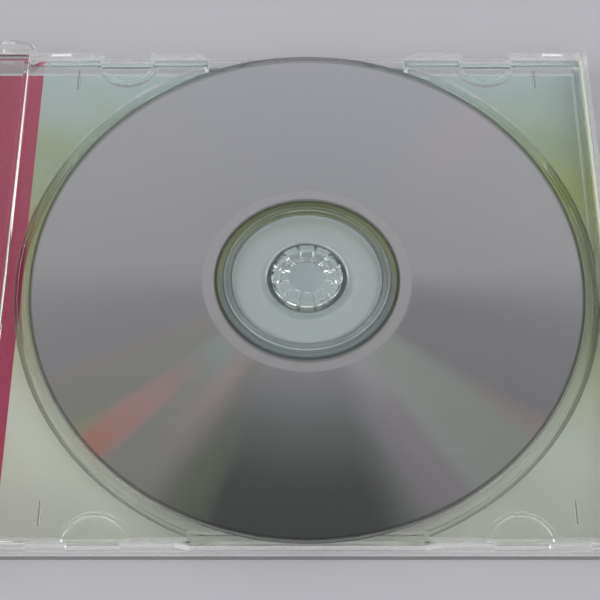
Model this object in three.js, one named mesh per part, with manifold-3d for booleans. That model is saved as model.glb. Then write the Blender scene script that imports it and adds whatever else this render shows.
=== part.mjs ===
// A compact disc clipped into its clear hinged case, lying open on a table.
// Millimetres. The disc's axis is x = y = 0, the underside of the case is z = 0, +x points away
// from the hinge, +y to the back and +z up. The lid is drawn closed and then swung over by half a turn.
import * as THREE from "three";
import { mergeVertices } from "three/addons/utils/BufferGeometryUtils.js";
import Module from "manifold-3d";

const wasm = await Module();
wasm.setup();

// Disc.
const DISC_RADIUS = 60;
const DISC_BORE_RADIUS = 7.5;
const DISC_THICKNESS = 1.2;
const DISC_TOP = 7.2;
const STACK_RING_RADIUS = 17.3;
const STACK_RING_HEIGHT = 0.25;

// Case as a whole, made to fit round the disc.
const CASE_HEIGHT = 10;
const DISC_TO_RIGHT_END = 5.5;
const DISC_TO_LEFT_END = 16.5;
const DISC_TO_LID_SIDE = 2.5;
const WALL = 1.2;
const LID_SIDE_GAP = 0.3;

// Hinge: pins on the ears of the lid turn in holes of the base.
const HINGE_INSET = 6.4;
const PIN_RADIUS = 1.5;
const PIN_CLEARANCE = 0.1;
const EAR_CORNER_RADIUS = 3.8;
const EAR_REACH = 7;
const EAR_RAMP = 3;
const OPEN_EDGE_GAP = 0.35;
const LID_WALL_LIFT = 0.2;

// Base.
const SPINE_TOP = 8.5;
const SIDE_WALL_TOP = 7.1;
const WALL_RAMP = 3;
const FINGER_DIP_TOP = 4.8;
const FINGER_DIP_HALF_WIDTH = 23;

// Nibs on the tray that click into windows of the end walls.
const CLIP_INSET = 7.6;
const CLIP_Z = 4.6;
const CLIP_WIDTH = 4.4;
const CLIP_HEIGHT = 0.6;
const CLIP_DEPTH = 0.9;
const WINDOW_MARGIN = 0.3;

// Card.
const CARD_THICKNESS = 0.3;
const CARD_SIDE_GAP = 1;
const CARD_SPINE_TOP = 7.6;
const CARD_END_GAP = 0.1;

// Tray.
const TRAY_END_GAP = 0.1;
const TRAY_SIDE_GAP = 0.4;
const DECK_TOP = 6.2;
const RECESS_CLEARANCE = 2.1;
const RECESS_SLOPE = 1.3;
const RECESS_FLOOR = 4.2;
const LEDGE_WIDTH = 2;
const LEDGE_DROP = 0.6;
const RIB_TO_CLIP = 4.9;
const RIB_LENGTH = 5.2;
const RIB_INSET = 3.2;
const RIB_WIDTH = 0.8;
const RIB_HEIGHT = 0.5;
const BAR_WIDTH = 10.2;
const PEDESTAL_RADIUS = 16.2;
const MOAT_RADIUS = 9;
const ROSETTE_TOP = 7.9;
const ROSETTE_RADIUS = 7.1;
const ROSETTE_OPENING_RADIUS = 3.9;
const FINGER_COUNT = 12;
const FINGER_SLOT = 0.7;
const FINGER_LIP = 0.6;

// Booklet tabs of the lid and the pockets of the tray that they drop into.
const TAB_SPREAD = 0.7;
const TAB_RADIUS = 4.9;
const TAB_THICKNESS = 0.9;
const TAB_SPACE = 2.7;
const TAB_SIDE_GAP = 0.4;
const TAB_UNDER_GAP = 0.3;
const POCKET_RADIUS = 6.4;

// Booklet.
const BOOKLET_END_GAP = 4.425;
const BOOKLET_SIDE_GAP = 1.3;
const BOOKLET_THICKNESS = 0.5;

const ROUND = 96;
const SMALL_ROUND = 24;

// Sizes that follow from those above.
const CASE_RIGHT = DISC_RADIUS + DISC_TO_RIGHT_END;
const CASE_LEFT = -(DISC_RADIUS + DISC_TO_LEFT_END);
const LID_HALF_DEPTH = DISC_RADIUS + DISC_TO_LID_SIDE;
const LID_INNER_HALF_DEPTH = LID_HALF_DEPTH - WALL;
const HINGE_X = CASE_LEFT + HINGE_INSET;
const CLIP_X = CASE_RIGHT - CLIP_INSET;
const RIB_X = CLIP_X - RIB_TO_CLIP;
const TAB_X = DISC_RADIUS * TAB_SPREAD;
const RECESS_RADIUS = DISC_RADIUS + RECESS_CLEARANCE;
const BASE_HALF_DEPTH = LID_HALF_DEPTH - WALL - LID_SIDE_GAP;
const BASE_INNER_HALF_DEPTH = BASE_HALF_DEPTH - WALL;
const BASE_INNER_LEFT = CASE_LEFT + WALL;
const BASE_INNER_RIGHT = CASE_RIGHT - WALL;
const HINGE_Z = CASE_HEIGHT / 2;
const PLATE_BOTTOM = CASE_HEIGHT - WALL;
const PLATE_LEFT = 2 * HINGE_X - CASE_LEFT + OPEN_EDGE_GAP;
const LID_WALL_BOTTOM = WALL + LID_WALL_LIFT;
const CARD_HALF_DEPTH = BASE_INNER_HALF_DEPTH - CARD_SIDE_GAP;
const CARD_TOP = WALL + CARD_THICKNESS;
const CARD_LEFT = BASE_INNER_LEFT + CARD_END_GAP;
const CARD_RIGHT = BASE_INNER_RIGHT - CARD_END_GAP;
const TRAY_LEFT = CARD_LEFT + CARD_THICKNESS + TRAY_END_GAP;
const TRAY_RIGHT = CARD_RIGHT - CARD_THICKNESS - TRAY_END_GAP;
const TRAY_HALF_DEPTH = BASE_INNER_HALF_DEPTH - TRAY_SIDE_GAP;
const BAR_EDGE_X = TRAY_LEFT + BAR_WIDTH;
const DISC_BOTTOM = DISC_TOP - DISC_THICKNESS;
const NOTCH_HALF_WIDTH = TAB_RADIUS + TAB_SIDE_GAP;
const TAB_TOP = PLATE_BOTTOM - TAB_SPACE;
const TAB_BOTTOM = TAB_TOP - TAB_THICKNESS;
const NOTCH_BOTTOM = TAB_BOTTOM - TAB_UNDER_GAP;
const POCKET_FLOOR = TAB_BOTTOM - TAB_UNDER_GAP;
const BOOKLET_HALF_DEPTH = LID_INNER_HALF_DEPTH - BOOKLET_SIDE_GAP;

function solid(geometry) {
  const bare = geometry.index ? geometry.toNonIndexed() : geometry.clone();
  bare.deleteAttribute("normal");
  bare.deleteAttribute("uv");
  const merged = mergeVertices(bare, 1e-4);
  return new wasm.Manifold(
    new wasm.Mesh({
      numProp: 3,
      vertProperties: merged.attributes.position.array,
      triVerts: new Uint32Array(merged.index.array),
    }),
  );
}

function box(x0, x1, y0, y1, z0, z1) {
  const geometry = new THREE.BoxGeometry(x1 - x0, y1 - y0, z1 - z0);
  geometry.translate((x0 + x1) / 2, (y0 + y1) / 2, (z0 + z1) / 2);
  return solid(geometry);
}

// A box that lies between distances y0 and y1 from the middle, on the front (-1) or back (1) side.
function sideBox(side, x0, x1, y0, y1, z0, z1) {
  return side > 0 ? box(x0, x1, y0, y1, z0, z1) : box(x0, x1, -y1, -y0, z0, z1);
}

// A closed outline of [radius, z] points turned about the z axis; the points run counterclockwise.
function turned(points, segments = ROUND) {
  const closed = [...points, points[0]].map(([r, z]) => new THREE.Vector2(r, z));
  const geometry = new THREE.LatheGeometry(closed, segments);
  geometry.rotateX(Math.PI / 2);
  return solid(geometry);
}

function cylinder(x, y, radius, z0, z1, segments = ROUND) {
  const geometry = new THREE.CylinderGeometry(radius, radius, z1 - z0, segments);
  geometry.rotateX(Math.PI / 2);
  geometry.translate(x, y, (z0 + z1) / 2);
  return solid(geometry);
}

// A cylinder along y, for pins and pin holes.
function crossCylinder(x, z, radius, y0, y1) {
  const geometry = new THREE.CylinderGeometry(radius, radius, y1 - y0, SMALL_ROUND);
  geometry.translate(x, (y0 + y1) / 2, z);
  return solid(geometry);
}

// An outline of [x, z] points, drawn in the plane of the front wall and extruded from y0 to y1.
function wallShape(shape, y0, y1) {
  const geometry = new THREE.ExtrudeGeometry(shape, {
    depth: y1 - y0,
    bevelEnabled: false,
    curveSegments: 10,
  });
  geometry.rotateX(Math.PI / 2);
  geometry.translate(0, y1, 0);
  return solid(geometry);
}

function outline(points) {
  return new THREE.Shape(points.map(([x, z]) => new THREE.Vector2(x, z)));
}

function join(parts) {
  return parts.reduce((sum, part) => sum.add(part));
}

const SIDES = [-1, 1];

// Base: floor, two spine walls and two shaped end walls with the pin holes and clip windows.
function endWallOutline() {
  const half = [
    [FINGER_DIP_HALF_WIDTH, FINGER_DIP_TOP],
    [FINGER_DIP_HALF_WIDTH + WALL_RAMP, SIDE_WALL_TOP],
    [TAB_X - NOTCH_HALF_WIDTH, SIDE_WALL_TOP],
    [TAB_X - NOTCH_HALF_WIDTH, NOTCH_BOTTOM],
    [TAB_X + NOTCH_HALF_WIDTH, NOTCH_BOTTOM],
    [TAB_X + NOTCH_HALF_WIDTH, SIDE_WALL_TOP],
  ];
  const mirrored = half.map(([x, z]) => [-x, z]).reverse();
  return outline([
    [CASE_LEFT, 0],
    [CASE_RIGHT, 0],
    [CASE_RIGHT, SPINE_TOP],
    [BASE_INNER_RIGHT, SPINE_TOP],
    [BASE_INNER_RIGHT, SIDE_WALL_TOP],
    ...half.slice().reverse(),
    ...mirrored.slice().reverse(),
    [PLATE_LEFT + WALL_RAMP, SIDE_WALL_TOP],
    [PLATE_LEFT - OPEN_EDGE_GAP, SPINE_TOP],
    [CASE_LEFT, SPINE_TOP],
  ]);
}

function makeBase() {
  let base = join([
    box(CASE_LEFT, CASE_RIGHT, -BASE_HALF_DEPTH, BASE_HALF_DEPTH, 0, WALL),
    box(CASE_LEFT, BASE_INNER_LEFT, -BASE_HALF_DEPTH, BASE_HALF_DEPTH, 0, SPINE_TOP),
    box(BASE_INNER_RIGHT, CASE_RIGHT, -BASE_HALF_DEPTH, BASE_HALF_DEPTH, 0, SPINE_TOP),
    wallShape(endWallOutline(), BASE_INNER_HALF_DEPTH, BASE_HALF_DEPTH),
    wallShape(endWallOutline(), -BASE_HALF_DEPTH, -BASE_INNER_HALF_DEPTH),
  ]);
  const hole = crossCylinder(HINGE_X, HINGE_Z, PIN_RADIUS + PIN_CLEARANCE, -LID_HALF_DEPTH, LID_HALF_DEPTH);
  base = base.subtract(hole);
  const across = CLIP_WIDTH / 2 + WINDOW_MARGIN;
  const tall = CLIP_HEIGHT / 2 + WINDOW_MARGIN;
  for (const side of SIDES) {
    const x = side * CLIP_X;
    base = base.subtract(
      box(x - across, x + across, -LID_HALF_DEPTH, LID_HALF_DEPTH, CLIP_Z - tall, CLIP_Z + tall),
    );
  }
  return base;
}

// Inlay card: one sheet with a spine panel folded up at each end.
function makeCard() {
  return join([
    box(CARD_LEFT, CARD_RIGHT, -CARD_HALF_DEPTH, CARD_HALF_DEPTH, WALL, CARD_TOP),
    box(CARD_LEFT, CARD_LEFT + CARD_THICKNESS, -CARD_HALF_DEPTH, CARD_HALF_DEPTH, WALL, CARD_SPINE_TOP),
    box(CARD_RIGHT - CARD_THICKNESS, CARD_RIGHT, -CARD_HALF_DEPTH, CARD_HALF_DEPTH, WALL, CARD_SPINE_TOP),
  ]);
}

// Hub of the tray: a raised ring that the disc rests on and the ring of springy fingers in its bore.
function makePedestal() {
  return turned([
    [MOAT_RADIUS, CARD_TOP],
    [MOAT_RADIUS + 1, CARD_TOP],
    [MOAT_RADIUS + 1, DISC_BOTTOM - 1],
    [PEDESTAL_RADIUS - 1, DISC_BOTTOM - 1],
    [PEDESTAL_RADIUS - 1, RECESS_FLOOR - WALL],
    [PEDESTAL_RADIUS, RECESS_FLOOR - WALL],
    [PEDESTAL_RADIUS, DISC_BOTTOM - 0.2],
    [PEDESTAL_RADIUS - 0.2, DISC_BOTTOM],
    [MOAT_RADIUS + 0.3, DISC_BOTTOM],
    [MOAT_RADIUS, DISC_BOTTOM - 0.3],
  ]);
}

function makeRosette() {
  const root = RECESS_FLOOR - WALL;
  const ring = turned([
    [ROSETTE_RADIUS - 1, root],
    [MOAT_RADIUS + 0.5, root],
    [MOAT_RADIUS + 0.5, RECESS_FLOOR],
    [ROSETTE_RADIUS + 0.2, RECESS_FLOOR],
    [ROSETTE_RADIUS, RECESS_FLOOR + 0.4],
    [ROSETTE_RADIUS, DISC_TOP - 0.3],
    [ROSETTE_RADIUS + FINGER_LIP, DISC_TOP + 0.2],
    [ROSETTE_RADIUS + FINGER_LIP - 0.1, ROSETTE_TOP - 0.15],
    [ROSETTE_RADIUS - 0.2, ROSETTE_TOP],
    [ROSETTE_OPENING_RADIUS, ROSETTE_TOP - 0.5],
    [ROSETTE_OPENING_RADIUS, ROSETTE_TOP - 1.3],
    [ROSETTE_RADIUS - 1, ROSETTE_TOP - 1.0],
  ], FINGER_COUNT * 8);
  let fingers = ring;
  for (let i = 0; i < FINGER_COUNT; i += 1) {
    const slot = new THREE.BoxGeometry(ROSETTE_RADIUS + 1, FINGER_SLOT, ROSETTE_TOP - RECESS_FLOOR);
    slot.translate((ROSETTE_RADIUS + 1) / 2, 0, (ROSETTE_TOP + RECESS_FLOOR) / 2 + 0.1);
    slot.rotateZ(((i + 0.5) * 2 * Math.PI) / FINGER_COUNT);
    fingers = fingers.subtract(solid(slot));
  }
  return fingers;
}

function makeTray() {
  const under = DECK_TOP - WALL;
  const floorBottom = RECESS_FLOOR - WALL;
  const wallX = [TRAY_LEFT + WALL, TRAY_RIGHT - WALL];
  const wallY = TRAY_HALF_DEPTH - WALL;
  let shell = join([
    box(TRAY_LEFT, TRAY_RIGHT, -TRAY_HALF_DEPTH, TRAY_HALF_DEPTH, CARD_TOP, DECK_TOP),
    box(TRAY_LEFT, BAR_EDGE_X, -TRAY_HALF_DEPTH, TRAY_HALF_DEPTH, CARD_TOP, SPINE_TOP),
  ]);
  shell = shell
    .subtract(box(wallX[0], wallX[1], -wallY, wallY, 0, under))
    .subtract(box(wallX[0], BAR_EDGE_X - WALL, -wallY, wallY, 0, SPINE_TOP - WALL));

  // Dish that surrounds the disc, cut straight where it meets the front and back of the tray.
  const dish = turned([
    [MOAT_RADIUS + 0.2, floorBottom],
    [RECESS_RADIUS - 0.3, floorBottom],
    [RECESS_RADIUS + 1, under + 0.2],
    [RECESS_RADIUS + 1, DECK_TOP],
    [RECESS_RADIUS - 0.5, DECK_TOP],
    [RECESS_RADIUS - 0.5, RECESS_FLOOR],
    [MOAT_RADIUS + 0.2, RECESS_FLOOR],
  ]);
  const hollow = turned([
    [0, RECESS_FLOOR],
    [RECESS_RADIUS - RECESS_SLOPE, RECESS_FLOOR],
    [RECESS_RADIUS, DECK_TOP - 0.2],
    [RECESS_RADIUS + 0.3, DECK_TOP + 1],
    [0, DECK_TOP + 1],
  ]);
  const extent = box(TRAY_LEFT, TRAY_RIGHT, -TRAY_HALF_DEPTH, TRAY_HALF_DEPTH, 0, CASE_HEIGHT);
  let tray = shell.add(dish.intersect(extent)).subtract(hollow);

  // Floor opening inside the pedestal, so that the hub stands clear of the dish floor.
  tray = tray.subtract(cylinder(0, 0, PEDESTAL_RADIUS - 0.5, 0, RECESS_FLOOR + 1));
  tray = tray.add(makePedestal());
  tray = tray.add(makeRosette());

  const edge = TRAY_HALF_DEPTH;
  const reach = FINGER_DIP_HALF_WIDTH;
  const ledgeTop = RECESS_FLOOR - LEDGE_DROP;
  const rim = WALL * 0.8;
  for (const side of SIDES) {
    // Stepped ledge under the finger dip of the end wall, closed at both ends up to the deck.
    const trough = sideBox(
      side,
      -reach - rim,
      reach + rim,
      edge - LEDGE_WIDTH - rim,
      edge,
      ledgeTop - WALL,
      DECK_TOP,
    );
    tray = tray.add(trough.subtract(hollow));
    tray = tray.subtract(
      sideBox(side, -reach, reach, edge - LEDGE_WIDTH, edge + 1, ledgeTop, CASE_HEIGHT),
    );
    for (const end of SIDES) {
      const x = end * TAB_X;
      const y = side * (edge + 0.8);
      const socket = cylinder(x, y, POCKET_RADIUS + rim, POCKET_FLOOR - rim, DECK_TOP, 2 * SMALL_ROUND);
      tray = tray.add(socket.intersect(extent));
      tray = tray.subtract(
        cylinder(x, y, POCKET_RADIUS, POCKET_FLOOR, CASE_HEIGHT, 2 * SMALL_ROUND),
      );
      const rib = [end * RIB_X - RIB_WIDTH / 2, end * RIB_X + RIB_WIDTH / 2];
      const ribEnd = edge - RIB_INSET;
      tray = tray.add(
        sideBox(side, ...rib, ribEnd - RIB_LENGTH, ribEnd, DECK_TOP - WALL / 2, DECK_TOP + RIB_HEIGHT),
      );
      const clip = [end * CLIP_X - CLIP_WIDTH / 2, end * CLIP_X + CLIP_WIDTH / 2];
      const clipZ = [CLIP_Z - CLIP_HEIGHT / 2, CLIP_Z + CLIP_HEIGHT / 2];
      tray = tray.add(sideBox(side, ...clip, edge - WALL / 2, edge + CLIP_DEPTH, ...clipZ));
    }
  }
  return tray;
}

// Lid, drawn closed: plate, side walls that end in ears with pins, tabs for the booklet.
function lidWallOutline() {
  const shape = new THREE.Shape();
  const r = EAR_CORNER_RADIUS;
  const left = CASE_LEFT;
  shape.moveTo(CASE_RIGHT, LID_WALL_BOTTOM);
  shape.lineTo(CASE_RIGHT, CASE_HEIGHT);
  shape.lineTo(left + r, CASE_HEIGHT);
  shape.absarc(left + r, CASE_HEIGHT - r, r, Math.PI / 2, Math.PI, false);
  shape.lineTo(left, r);
  shape.absarc(left + r, r, r, Math.PI, (3 * Math.PI) / 2, false);
  shape.lineTo(HINGE_X + EAR_REACH, 0);
  shape.lineTo(HINGE_X + EAR_REACH + EAR_RAMP, LID_WALL_BOTTOM);
  shape.closePath();
  return shape;
}

function makeLid() {
  const inner = LID_INNER_HALF_DEPTH;
  let lid = join([
    box(PLATE_LEFT, CASE_RIGHT, -LID_HALF_DEPTH, LID_HALF_DEPTH, PLATE_BOTTOM, CASE_HEIGHT),
    wallShape(lidWallOutline(), inner, LID_HALF_DEPTH),
    wallShape(lidWallOutline(), -LID_HALF_DEPTH, -inner),
  ]);
  const root = inner + WALL / 2;
  for (const side of SIDES) {
    const pin = [side * (BASE_INNER_HALF_DEPTH + PIN_CLEARANCE), side * root].sort((a, b) => a - b);
    lid = lid.add(crossCylinder(HINGE_X, HINGE_Z, PIN_RADIUS, ...pin));
    for (const end of SIDES) {
      const x = end * TAB_X;
      const tab = cylinder(x, side * (inner - 0.4), TAB_RADIUS, TAB_BOTTOM, TAB_TOP, 2 * SMALL_ROUND);
      lid = lid.add(tab.intersect(sideBox(side, x - TAB_RADIUS, x + TAB_RADIUS, 0, root, 0, CASE_HEIGHT)));
    }
  }
  return lid;
}

// Booklet, drawn closed under the lid plate: one solid block of leaves.
function makeBooklet() {
  return box(
    PLATE_LEFT + BOOKLET_END_GAP,
    CASE_RIGHT - BOOKLET_END_GAP,
    -BOOKLET_HALF_DEPTH,
    BOOKLET_HALF_DEPTH,
    PLATE_BOTTOM - BOOKLET_THICKNESS,
    PLATE_BOTTOM,
  );
}

function makeDisc() {
  const inner = STACK_RING_RADIUS - 0.4;
  const outer = STACK_RING_RADIUS + 0.4;
  return turned([
    [DISC_BORE_RADIUS, DISC_BOTTOM],
    [DISC_RADIUS - 0.15, DISC_BOTTOM],
    [DISC_RADIUS, DISC_BOTTOM + 0.15],
    [DISC_RADIUS, DISC_TOP - 0.15],
    [DISC_RADIUS - 0.15, DISC_TOP],
    [outer, DISC_TOP],
    [outer - 0.15, DISC_TOP + STACK_RING_HEIGHT],
    [inner + 0.15, DISC_TOP + STACK_RING_HEIGHT],
    [inner, DISC_TOP],
    [DISC_BORE_RADIUS, DISC_TOP],
  ]);
}

const CLEAR = { color: 0xdfe6e4, roughness: 0.08, metalness: 0 };

function mesh(name, body, look) {
  const made = body.getMesh();
  const geometry = new THREE.BufferGeometry();
  const position = new Float32Array(made.numVert * 3);
  for (let i = 0; i < made.numVert; i += 1) {
    position.set(made.vertProperties.subarray(i * made.numProp, i * made.numProp + 3), i * 3);
  }
  geometry.setAttribute("position", new THREE.BufferAttribute(position, 3));
  geometry.setIndex(new THREE.BufferAttribute(made.triVerts, 1));
  geometry.computeVertexNormals();
  const piece = new THREE.Mesh(geometry, new THREE.MeshStandardMaterial(look));
  piece.name = name;
  return piece;
}

// Half a turn about the hinge pins takes a closed piece of the lid to its open place.
function swungOpen(piece) {
  const turn = new THREE.Matrix4().set(
    -1, 0, 0, 2 * HINGE_X,
    0, 1, 0, 0,
    0, 0, -1, 2 * HINGE_Z,
    0, 0, 0, 1,
  );
  piece.geometry.applyMatrix4(turn);
  piece.geometry.computeVertexNormals();
  return piece;
}

const group = new THREE.Group();
group.name = "disc_in_hinged_case";
group.add(
  mesh("case_base", makeBase(), CLEAR),
  mesh("inlay_card", makeCard(), { color: 0xa9b3a4, roughness: 0.6, metalness: 0 }),
  mesh("tray", makeTray(), CLEAR),
  mesh("disc", makeDisc(), { color: 0x8e8f94, roughness: 0.15, metalness: 0.8 }),
  swungOpen(mesh("lid", makeLid(), CLEAR)),
  swungOpen(mesh("booklet", makeBooklet(), { color: 0xb9c0ae, roughness: 0.6, metalness: 0 })),
);

export default group;
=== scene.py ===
"""A compact disc clipped on the hub of its open, clear hinged case, on a pale table."""

import logging
import math
from dataclasses import dataclass
from enum import Enum

import bmesh
import bpy
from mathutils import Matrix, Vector


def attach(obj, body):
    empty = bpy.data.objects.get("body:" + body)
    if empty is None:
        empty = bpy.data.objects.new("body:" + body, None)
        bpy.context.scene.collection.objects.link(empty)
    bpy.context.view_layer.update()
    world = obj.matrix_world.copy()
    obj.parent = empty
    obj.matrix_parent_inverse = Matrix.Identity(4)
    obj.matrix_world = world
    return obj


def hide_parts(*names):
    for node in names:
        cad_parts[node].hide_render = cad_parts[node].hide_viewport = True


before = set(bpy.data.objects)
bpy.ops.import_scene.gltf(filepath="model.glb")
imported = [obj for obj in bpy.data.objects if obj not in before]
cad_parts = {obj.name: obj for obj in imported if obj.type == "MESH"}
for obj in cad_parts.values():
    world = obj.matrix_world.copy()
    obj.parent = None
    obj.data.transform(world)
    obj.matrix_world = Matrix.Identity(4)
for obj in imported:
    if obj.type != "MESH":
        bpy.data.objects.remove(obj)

LOG = logging.getLogger("disc_case")
MM = 0.001
# The four small ribs on the tray's deck, in millimetres: where their middles lie, how far they reach to
# each side, the height of their foot and half the width of the painted shade along their cores.
RIB_X, RIB_Y = 53.0, 53.6
RIB_HALF_WIDTH, RIB_HALF_LENGTH, RIB_HEIGHT = 0.45, 2.7, 0.55
RIB_FOOT = 6.25
RIB_SHADE_CORE = 0.17
RGB = tuple[float, float, float]
Stop = tuple[float, RGB]
Point = tuple[float, float, float]
Outline = list[tuple[float, float]]
# Painted shade: the dark colour laid on clear plastic where light bent at its edges leaves them looking dark.
PAINTED_EDGE_SHADE: RGB = (0.22, 0.24, 0.22)


class Body(Enum):
    """The two rigid bodies that pieces ride on."""

    CASE = "case"
    LID = "lid"


def srgb(code: str) -> RGB:
    """Turns a six-digit colour code into linear red, green and blue.

    Args:
        code: Six hexadecimal digits.

    Returns:
        The colour in linear light.
    """
    parts = [int(code[i : i + 2], 16) / 255 for i in (0, 2, 4)]
    linear = [p / 12.92 if p <= 0.04045 else ((p + 0.055) / 1.055) ** 2.4 for p in parts]
    return (linear[0], linear[1], linear[2])


class Graph:
    """Adds nodes to one node tree and links them."""

    def __init__(self, tree: bpy.types.NodeTree) -> None:
        """Keeps the material's, world's or group's tree that nodes are added to."""
        self.tree = tree

    def node(self, kind: str, **settings: object) -> bpy.types.Node:
        """Adds one node and sets its attributes.

        Args:
            kind: The node's type name.
            settings: Attributes of the node and their values.

        Returns:
            The new node.
        """
        made = self.tree.nodes.new(kind)
        for name, value in settings.items():
            setattr(made, name, value)
        return made

    def feed(self, target: bpy.types.NodeSocket, value: object) -> None:
        """Links a socket to an input, or sets the input to a plain value.

        Args:
            target: The input socket.
            value: A socket, a number, a colour or a vector.
        """
        if isinstance(value, bpy.types.NodeSocket):
            self.tree.links.new(value, target)
        elif isinstance(value, tuple) and target.type == "RGBA" and len(value) == 3:
            target.default_value = (*value, 1.0)
        else:
            target.default_value = value

    def math(self, operation: str, *values: object) -> bpy.types.NodeSocket:
        """Adds a Math node.

        Args:
            operation: The node's operation.
            values: Its inputs in order, sockets or numbers.

        Returns:
            The result.
        """
        made = self.node("ShaderNodeMath", operation=operation)
        for socket, value in zip(made.inputs, values):
            self.feed(socket, value)
        return made.outputs[0]

    def step(self, value: object, low: float, high: float) -> bpy.types.NodeSocket:
        """Adds a smooth step from 0 at low to 1 at high.

        Args:
            value: The socket that is read.
            low: Where the step starts.
            high: Where it ends; it may lie below low.

        Returns:
            A mask from 0 to 1.
        """
        made = self.node("ShaderNodeMapRange", interpolation_type="SMOOTHSTEP")
        flipped = high < low
        self.feed(made.inputs["Value"], value)
        self.feed(made.inputs["From Min"], min(low, high))
        self.feed(made.inputs["From Max"], max(low, high))
        self.feed(made.inputs["To Min"], 1.0 if flipped else 0.0)
        self.feed(made.inputs["To Max"], 0.0 if flipped else 1.0)
        return made.outputs["Result"]

    def window(self, value: object, low: float, high: float, soft: float) -> bpy.types.NodeSocket:
        """Adds a mask that is 1 between two values and fades over a soft width.

        Args:
            value: The socket that is read.
            low: Lower edge.
            high: Upper edge.
            soft: Width of each fade.

        Returns:
            A mask from 0 to 1.
        """
        rise = self.step(value, low - soft / 2, low + soft / 2)
        fall = self.step(value, high + soft / 2, high - soft / 2)
        return self.math("MULTIPLY", rise, fall)

    def ramp(self, value: object, stops: tuple[Stop, ...], smooth: bool = False) -> bpy.types.NodeSocket:
        """Adds a colour ramp.

        Args:
            value: The socket that is read, from 0 to 1.
            stops: Positions and colours in order.
            smooth: Whether the colours ease between stops.

        Returns:
            The colour.
        """
        made = self.node("ShaderNodeValToRGB")
        made.color_ramp.interpolation = "EASE" if smooth else "LINEAR"
        points = made.color_ramp.elements
        points[0].position, points[-1].position = stops[0][0], stops[-1][0]
        points[0].color, points[-1].color = (*stops[0][1], 1.0), (*stops[-1][1], 1.0)
        for place, colour in stops[1:-1]:
            points.new(place).color = (*colour, 1.0)
        self.feed(made.inputs["Fac"], value)
        return made.outputs["Color"]

    def mix(self, mask: object, first: object, second: object, blend: str = "MIX") -> bpy.types.NodeSocket:
        """Adds a colour mix.

        Args:
            mask: 0 gives the first colour and 1 the second.
            first: A colour or socket.
            second: A colour or socket.
            blend: How the second colour is laid over the first.

        Returns:
            The mixed colour.
        """
        made = self.node("ShaderNodeMix", data_type="RGBA", blend_type=blend)
        self.feed(made.inputs[0], mask)
        self.feed(made.inputs[6], first)
        self.feed(made.inputs[7], second)
        return made.outputs[2]

    def noise(self, place: object, scale: float, detail: float = 3.0) -> bpy.types.NodeSocket:
        """Adds a noise texture.

        Args:
            place: The coordinates.
            scale: Its scale, per metre.
            detail: How many finer layers it has.

        Returns:
            The noise value, about 0.3 to 0.7.
        """
        made = self.node("ShaderNodeTexNoise")
        self.feed(made.inputs["Vector"], place)
        self.feed(made.inputs["Scale"], scale)
        self.feed(made.inputs["Detail"], detail)
        return made.outputs[0]

    def place(self) -> tuple[bpy.types.NodeSocket, ...]:
        """Reads where a point of the object is, in metres.

        Returns:
            The position, then its x, y and z.
        """
        spot = self.node("ShaderNodeTexCoord").outputs["Object"]
        parts = self.node("ShaderNodeSeparateXYZ")
        self.feed(parts.inputs[0], spot)
        return (spot, *parts.outputs)

    def radius(self, x: object, y: object) -> bpy.types.NodeSocket:
        """Adds the distance from the disc's axis, in metres."""
        squares = self.math("ADD", self.math("MULTIPLY", x, x), self.math("MULTIPLY", y, y))
        return self.math("SQRT", squares)


class Effects:
    """Builds the node groups that several materials share, each once."""

    def __init__(self) -> None:
        """Makes both groups."""
        self.scratches = self._scratches()
        self.grain = self._grain()

    @staticmethod
    def _group(name: str, inputs: tuple[tuple[str, float], ...], outputs: tuple[str, ...]) -> tuple:
        """Starts a group with named sockets.

        Args:
            name: The group's name.
            inputs: Names and defaults of its number inputs.
            outputs: Names of its number outputs.

        Returns:
            The tree, its graph, its input node and its output node.
        """
        tree = bpy.data.node_groups.new(name, "ShaderNodeTree")
        for label, value in inputs:
            socket = tree.interface.new_socket(label, in_out="INPUT", socket_type="NodeSocketFloat")
            socket.default_value = value
        for label in outputs:
            tree.interface.new_socket(label, in_out="OUTPUT", socket_type="NodeSocketFloat")
        graph = Graph(tree)
        return tree, graph, graph.node("NodeGroupInput"), graph.node("NodeGroupOutput")

    def _scratches(self) -> bpy.types.NodeTree:
        """Hairline scuffs of handled plastic.

        Returns:
            A group that puts out a scuff mask.
        """
        tree, graph, given, result = self._group(
            "hairline_scuffs", (("Scale", 60.0), ("Amount", 0.5)), ("Mask",)
        )
        spot = graph.place()[0]
        total = None
        for turn in (0.35, 1.9):
            mapping = graph.node("ShaderNodeMapping")
            graph.feed(mapping.inputs["Vector"], spot)
            mapping.inputs["Rotation"].default_value = (0.0, 0.0, turn)
            mapping.inputs["Scale"].default_value = (1.0, 22.0, 1.0)
            made = graph.node("ShaderNodeTexNoise")
            graph.feed(made.inputs["Vector"], mapping.outputs[0])
            graph.feed(made.inputs["Scale"], given.outputs["Scale"])
            made.inputs["Detail"].default_value = 4.0
            line = graph.step(made.outputs[0], 0.66, 0.72)
            total = line if total is None else graph.math("MAXIMUM", total, line)
        graph.feed(result.inputs["Mask"], graph.math("MULTIPLY", total, given.outputs["Amount"]))
        return tree

    def _grain(self) -> bpy.types.NodeTree:
        """Soft cloudy unevenness of a surface.

        Returns:
            A group that puts out a value around 0.5.
        """
        tree, graph, given, result = self._group("soft_grain", (("Scale", 120.0),), ("Value",))
        made = graph.node("ShaderNodeTexNoise")
        graph.feed(made.inputs["Vector"], graph.place()[0])
        graph.feed(made.inputs["Scale"], given.outputs["Scale"])
        made.inputs["Detail"].default_value = 5.0
        graph.feed(result.inputs["Value"], made.outputs[0])
        return tree

    @staticmethod
    def use(graph: Graph, tree: bpy.types.NodeTree, **values: float) -> bpy.types.NodeSocket:
        """Places a group in a material.

        Args:
            graph: The material's graph.
            tree: The group.
            values: Its inputs by name.

        Returns:
            The group's first output.
        """
        made = graph.node("ShaderNodeGroup", node_tree=tree)
        for name, value in values.items():
            graph.feed(made.inputs[name], value)
        return made.outputs[0]


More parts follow.
